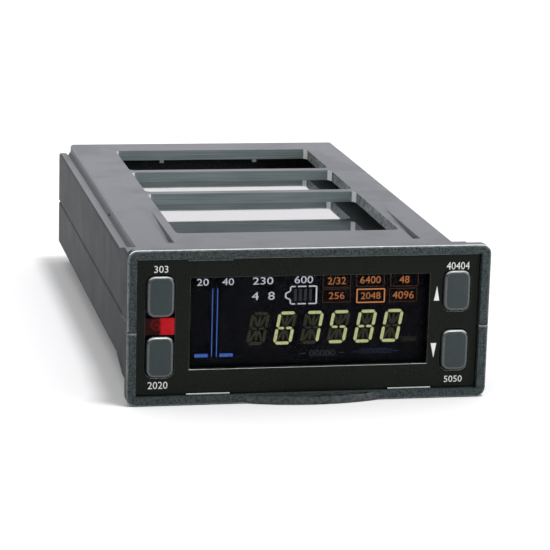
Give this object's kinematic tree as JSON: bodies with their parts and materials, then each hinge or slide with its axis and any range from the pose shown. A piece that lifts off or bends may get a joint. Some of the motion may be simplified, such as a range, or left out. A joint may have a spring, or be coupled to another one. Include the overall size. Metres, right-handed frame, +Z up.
{
  "type": "wireless receiver module",
  "caption": "Plug-in wireless microphone receiver module with a split bezel, segment display, push buttons, side rails and a windowed top over its metal shield.",
  "frame": {"origin": "middle of the bounding box at the bezel's lowest edge", "axes": "+X to the right as seen from the front, +Y from the bezel to the rear, +Z up; the front panel faces -Y"},
  "size_m": [0.1, 0.178, 0.043],
  "materials": {
    "case_plastic": "dark grey moulded plastic with a fine spark-eroded texture",
    "panel_plastic": "black moulded panel, satin",
    "display_clear": "smoked clear window over a black segment glass",
    "button_rubber": "grey-green soft button caps",
    "infrared_red": "clear deep red infrared window",
    "black_plastic": "black moulded plastic",
    "white_plastic": "milky light guide",
    "board_green": "circuit board with green solder mask",
    "tinplate": "bright tinned steel sheet",
    "aluminium": "drawn aluminium can",
    "steel": "zinc-plated steel",
    "gold": "gold-plated brass"
  },
  "bodies": {
    "case": {"upper_shell": "case_plastic", "lower_shell": "case_plastic", "front_panel": "panel_plastic", "display_window": "display_clear", "display_glass": "display_clear", "infrared_window": "infrared_red", "infrared_emitter": "infrared_red", "display_holder": "black_plastic", "infrared_receiver": "black_plastic", "display_driver": "black_plastic", "link_socket": "black_plastic", "link_header": "black_plastic", "processor": "black_plastic", "voltage_regulator": "black_plastic", "tuner_chip_a": "black_plastic", "tuner_chip_b": "black_plastic", "audio_codec": "black_plastic", "connector_shroud": "black_plastic", "switch_body_upper_left": "black_plastic", "switch_body_lower_left": "black_plastic", "switch_body_upper_right": "black_plastic", "switch_body_lower_right": "black_plastic", "display_backlight": "white_plastic", "control_board": "board_green", "main_board": "board_green", "shield_frame": "tinplate", "shield_lid": "tinplate", "bottom_shield": "tinplate", "input_filter_a": "tinplate", "input_filter_b": "tinplate", "capacitor_1": "aluminium", "capacitor_2": "aluminium", "crystal": "steel", "case_screw_front_left": "steel", "case_screw_front_right": "steel", "case_screw_rear_left": "steel", "case_screw_rear_right": "steel", "wave_filter_a": "gold", "wave_filter_b": "gold", "antenna_socket_a": "gold", "antenna_socket_b": "gold", "antenna_pin_a": "gold", "antenna_pin_b": "gold"},
    "button_upper_left": {"button_upper_left": "button_rubber", "switch_plunger_upper_left": "black_plastic"},
    "button_lower_left": {"button_lower_left": "button_rubber", "switch_plunger_lower_left": "black_plastic"},
    "button_upper_right": {"button_upper_right": "button_rubber", "switch_plunger_upper_right": "black_plastic"},
    "button_lower_right": {"button_lower_right": "button_rubber", "switch_plunger_lower_right": "black_plastic"}
  },
  "joints": [
    {"name": "press_upper_left", "type": "slide", "parent": "case", "child": "button_upper_left", "axis": [0, 1, 0], "range_m": [0, 0.0007], "stiffness_N_per_m": 2000, "springref_m": -0.0004},
    {"name": "press_lower_left", "type": "slide", "parent": "case", "child": "button_lower_left", "axis": [0, 1, 0], "range_m": [0, 0.0007], "stiffness_N_per_m": 2000, "springref_m": -0.0004},
    {"name": "press_upper_right", "type": "slide", "parent": "case", "child": "button_upper_right", "axis": [0, 1, 0], "range_m": [0, 0.0007], "stiffness_N_per_m": 2000, "springref_m": -0.0004},
    {"name": "press_lower_right", "type": "slide", "parent": "case", "child": "button_lower_right", "axis": [0, 1, 0], "range_m": [0, 0.0007], "stiffness_N_per_m": 2000, "springref_m": -0.0004}
  ]
}
